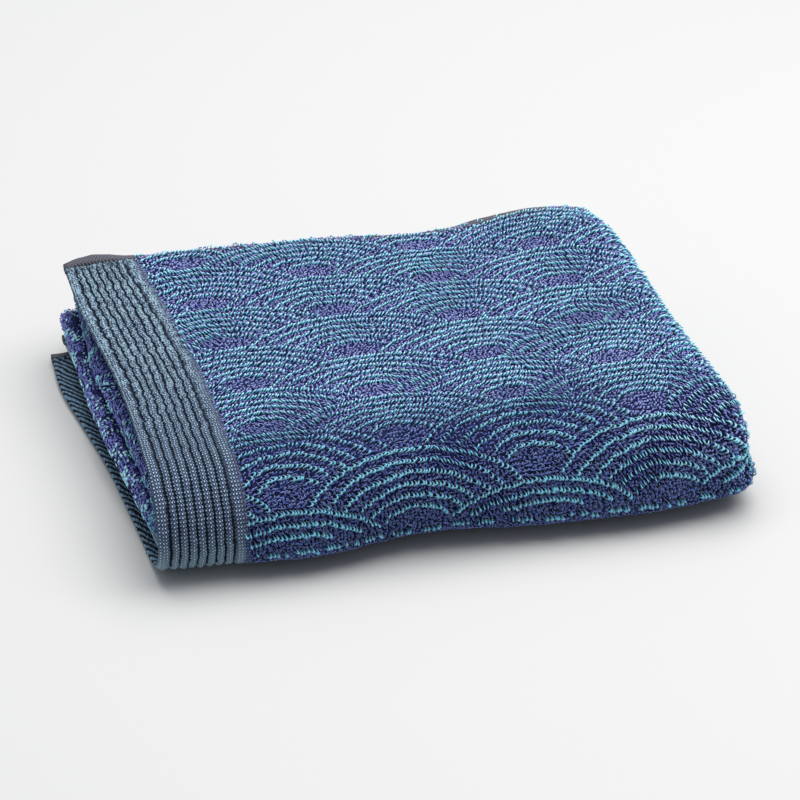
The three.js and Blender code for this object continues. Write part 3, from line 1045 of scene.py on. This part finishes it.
def groove_lines():
    """Where the grooves lie across a border, from the towel's end."""
    trim = settings("towel_trim")
    return np.concatenate([[0], trim.hem / MM + trim.rib / MM * np.arange(RIBS + 1)])


def scallop(u, v, wavelength, seed):
    """A wave from -1 to 1 with pointed crests, that shifts slowly from rib to rib."""
    phase = v / wavelength + 0.8 * drift(u, v, 16.0, seed)
    return 1 - 2 * np.abs(np.sin(math.pi * phase))


def rounded(reach):
    """The height of a quarter circle: 0 where reach is 0, and 1 where it is 1 or more."""
    return np.sqrt(1 - (1 - np.clip(reach, 0, 1)) ** 2)


def border_piece(name, from_end, lines_per_rib, rows, finish, node):
    """One ribbed border. from_end turns a distance from the towel's end into a place along it."""
    depth = settings("towel_trim").rib_depth / MM
    grooves = groove_lines()
    ribs = [np.linspace(*rib, lines_per_rib, endpoint=False) for rib in zip(grooves, grooves[1:])]
    plain = np.linspace(grooves[-1], BORDER_WIDTH, 5)
    us = np.sort(from_end(np.concatenate([*ribs, plain])))
    piece = blank(name, us, np.linspace(*BETWEEN_EDGINGS, rows))
    flat, u, v, face = blank_places(piece)
    even = flat.copy()
    inward = from_end(u)  # the same mirror turns a place into a distance

    # ridge is 1 on top of a rib and 0 in a groove.
    number = np.clip(np.searchsorted(grooves, inward, side="right") - 1, 0, RIBS)
    share = (inward - grooves[number]) / np.diff(grooves)[number]
    past_ribs = inward >= grooves[-1]
    last_fade = np.clip((BORDER_WIDTH - inward) / (BORDER_WIDTH - grooves[-1]), 0, 1)
    share = np.where(past_ribs, 0.5 * (1 - last_fade), share)
    ridge = 1 - np.abs(2 * share - 1) ** np.where(past_ribs, BAND_FALL, RIB_FALL)
    ridge *= 1 - 0.95 * np.exp(-(((inward - grooves[1] - 0.1) / HEM_GROOVE) ** 2))
    from_edging = np.minimum(v, TOWEL_WIDTH - v) - EDGING_WIDTH
    puckered = np.clip(1 - from_edging / PUCKER_REACH, 0, 1)
    ridge = 1 - (1 - ridge) * (1 - 0.8 * puckered)

    # Its thickness, with the crinkles of the top, which are pulled smooth over the nose.
    crinkled = 1 - 0.7 * np.clip((v - 0.85 * FLAT_WIDTH) / 30, 0, 1)
    thinned = 0.25 + 0.75 * rounded(inward / END_ROUNDING)
    half = (BORDER_THICKNESS / 2 - depth * (1 - ridge)) * thinned
    half += 0.10 * drift(u, v, 5.0, 67) + 0.2 * crinkled * scallop(u, v, 4.2, 79) * ridge
    flat[:, 2] = np.where(face, half, -0.75 * BORDER_THICKNESS / 2 * thinned)
    calm = np.clip(np.minimum(inward, BORDER_WIDTH - inward) / 2.0, 0, 1) * crinkled
    by_hem = np.exp(-(((inward - grooves[1]) / HEM_WANDER) ** 2))
    wander = 0.34 * scallop(u * 0.4, v, 4.6, 71) + 0.25 * drift(u * 0.5, v, 9.0, 73)
    flat[:, 0] += calm * (wander + 0.4 * by_hem * scallop(u * 0, v, 7.4, 75))

    seam = np.clip((inward - BORDER_WIDTH + SEAM_BAND) / SEAM_FADE, 0, 1)
    # The reverse and the outer edge get no painted groove shade.
    bright = ~face | (inward < grooves[1] / 2)  # the reverse and the outer edge show no dark groove
    keep_vectors(piece, "ribbing", np.column_stack([np.where(bright, 1, ridge), puckered, seam]))
    lay_down(piece, flat, finish, even)
    register_piece(piece, node)


class TOWEL_OT_borders(Operator):
    """Makes the ribbed borders at both ends of the towel"""

    bl_idname = "towel.borders"
    bl_label = "Ribbed borders"

    def execute(self, context):
        finish = border_finish()
        border_piece("ribbed_border_outer", lambda a: a, 9, 300, finish, "border_outer_end")
        border_piece(
            "ribbed_border_inner", lambda a: TOWEL_LENGTH - a, 4, 110, finish, "border_inner_end"
        )
        return {"FINISHED"}


# How far the binding stands out through the cloth at places along the towel: up where the border's
# corner curls at the upper back edge, and down where the loops of the terry hide it.
UPPER_EDGING_STANDS = (
    (0, 0.2),
    (5, 1.9),
    (12, 2.5),
    (20, 1.6),
    (26, 0.1),
    (34, -0.9),
    (95, -0.9),
    (115, -0.6),
    (144, -0.5),
    (153, 0.5),
    (172, 0.4),
    (186, -0.5),
    (200, -0.5),
    (208, 0.0),
    (TOWEL_LENGTH, 0.0),
)
LOWER_EDGING_STANDS = (
    (0, 0.0),
    (LEG_STARTS[LEFT_FOLD] - 12, 0.0),
    (LEG_STARTS[LEFT_FOLD] - 4, -1.1),
    (LEG_STARTS[LEFT_FOLD + 1] + 4, -1.1),
    (LEG_STARTS[LEFT_FOLD + 1] + 12, 0.0),
    (TOWEL_LENGTH, 0.0),
)


def edging_piece(name, from_edge, us, finish, node, stands):
    """The binding along one long edge, rounded over it.

    from_edge turns a distance from the edge into a place across the towel, and stands gives how far
    the binding stands out through the cloth, as (place along the towel, height).
    """
    lines = EDGING_WIDTH * np.array([0.0, 0.08, 0.25, 0.5, 0.8, 1.0])
    piece = blank(name, us, np.sort(from_edge(lines)))
    flat, u, v, face = blank_places(piece)
    reach = from_edge(v) / EDGING_WIDTH  # the same mirror turns a place into a distance
    half = EDGING_THICKNESS / 2 * (0.15 + 0.85 * rounded(2 * reach)) + 0.08 * drift(u, v, 5.0, 83)
    places, heights = zip(*stands)
    flat[:, 2] = np.where(face, half, -half) + np.interp(u, places, heights) * (1 - 0.6 * reach)
    lay_down(piece, flat, finish)
    register_piece(piece, node)


class TOWEL_OT_edgings(Operator):
    """Makes the binding along both long edges"""

    bl_idname = "towel.edgings"
    bl_label = "Edgings"

    def execute(self, context):
        finish = edging_finish()
        us = np.unique(np.concatenate([*lines_along(97), [TOWEL_LENGTH]]).round(6))
        us = us[us <= TOWEL_LENGTH]
        upper = ("edging_upper_binding", lambda a: a, us, finish, "edging_upper")
        lower = ("edging_lower_binding", lambda a: TOWEL_WIDTH - a, us, finish, "edging_lower")
        edging_piece(*upper, UPPER_EDGING_STANDS)
        edging_piece(*lower, LOWER_EDGING_STANDS)
        return {"FINISHED"}


# ---- Stage ----
CAMERA_AZIMUTH, CAMERA_ELEVATION = -15.19, 28.92
CAMERA_DISTANCE = 1.1008
CAMERA_AIM = Vector((0.0007, -0.0086, 0.0167))
CAMERA_LENS = 144  # millimetres, on a 36 mm sensor
SKY_TINT = (0.86, 0.935, 1.0)
SOFTBOX_TINT = (1.0, 0.974, 0.947)
FLOOR_RADIUS = 6


def direction(azimuth, elevation):
    """From the object towards something that stands at these angles, in degrees."""
    azimuth, elevation = math.radians(azimuth), math.radians(elevation)
    level = math.cos(elevation)
    return Vector((math.sin(azimuth) * level, -math.cos(azimuth) * level, math.sin(elevation)))


def set_up(name, data, aim, towards, distance):
    """Sets up a light or a camera at a distance from what it is aimed at."""
    holder = bpy.data.objects.new(name, data)
    bpy.context.scene.collection.objects.link(holder)
    holder.location = aim + towards * distance
    holder.rotation_euler = (-towards).to_track_quat("-Z", "Y").to_euler()
    return holder


def add_softbox(name, azimuth, elevation, distance, size, power, tint):
    """A broad soft light, at angles in degrees and a distance in metres from the floor's middle."""
    light = bpy.data.lights.new(name, "AREA")
    light.shape = "RECTANGLE"
    light.size, light.size_y = size
    light.energy = power
    light.color = tint
    set_up(name, light, Vector(), direction(azimuth, elevation), distance)


class TOWEL_OT_stage(Operator):
    """Makes the floor, the soft studio light and the camera"""

    bl_idname = "towel.stage"
    bl_label = "Stage"

    def execute(self, context):
        stage = context.scene.towel_stage
        bpy.ops.mesh.primitive_circle_add(vertices=96, radius=FLOOR_RADIUS, fill_type="NGON")
        floor = context.object
        floor.name = floor.data.name = "floor"
        finish = Finish("Floor", Base_Color=rgba(stage.floor), Roughness=0.55, Specular_IOR_Level=0.2)
        floor.data.materials.append(finish.material)
        floor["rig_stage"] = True

        world = bpy.data.worlds.new("Studio")
        world.use_nodes = True
        background = world.node_tree.nodes["Background"]
        background.inputs["Color"].default_value = rgba(SKY_TINT)
        background.inputs["Strength"].default_value = stage.world
        context.scene.world = world
        add_softbox("main_softbox", 115, 76, 1.3, (1.75, 1.55), stage.key, SOFTBOX_TINT)

        camera = bpy.data.cameras.new("camera")
        camera.lens = CAMERA_LENS
        camera.sensor_width = 36
        camera.clip_end = 50
        towards = direction(CAMERA_AZIMUTH, CAMERA_ELEVATION)
        context.scene.camera = set_up("camera", camera, CAMERA_AIM, towards, CAMERA_DISTANCE)
        context.scene.view_settings.view_transform = "Standard"
        return {"FINISHED"}


class TOWEL_PT_panel(Panel):
    """Lists the towel's settings and the steps that make it"""

    bl_idname = "TOWEL_PT_panel"
    bl_label = "Folded face towel"
    bl_space_type = "VIEW_3D"
    bl_region_type = "UI"
    bl_category = "Towel"

    def draw(self, context):
        for group in (context.scene.towel_pile, context.scene.towel_trim, context.scene.towel_stage):
            column = self.layout.column()
            for name in group.__annotations__:
                column.prop(group, name)
        for operator in OPERATORS:
            self.layout.operator(operator.bl_idname)


GROUPS = {"towel_pile": TowelPile, "towel_trim": TowelTrim, "towel_stage": TowelStage}
OPERATORS = (TOWEL_OT_stage, TOWEL_OT_cloth, TOWEL_OT_pile, TOWEL_OT_borders, TOWEL_OT_edgings)
CLASSES = (*GROUPS.values(), *OPERATORS, TOWEL_PT_panel)


def register():
    for made in CLASSES:
        bpy.utils.register_class(made)
    for name, group in GROUPS.items():
        setattr(bpy.types.Scene, name, PointerProperty(type=group))


def unregister():
    for name in GROUPS:
        delattr(bpy.types.Scene, name)
    for made in reversed(CLASSES):
        bpy.utils.unregister_class(made)


def main():
    register()
    bpy.ops.towel.stage()
    bpy.ops.towel.cloth()
    bpy.ops.towel.pile()
    bpy.ops.towel.borders()
    bpy.ops.towel.edgings()


if __name__ == "__main__":
    main()
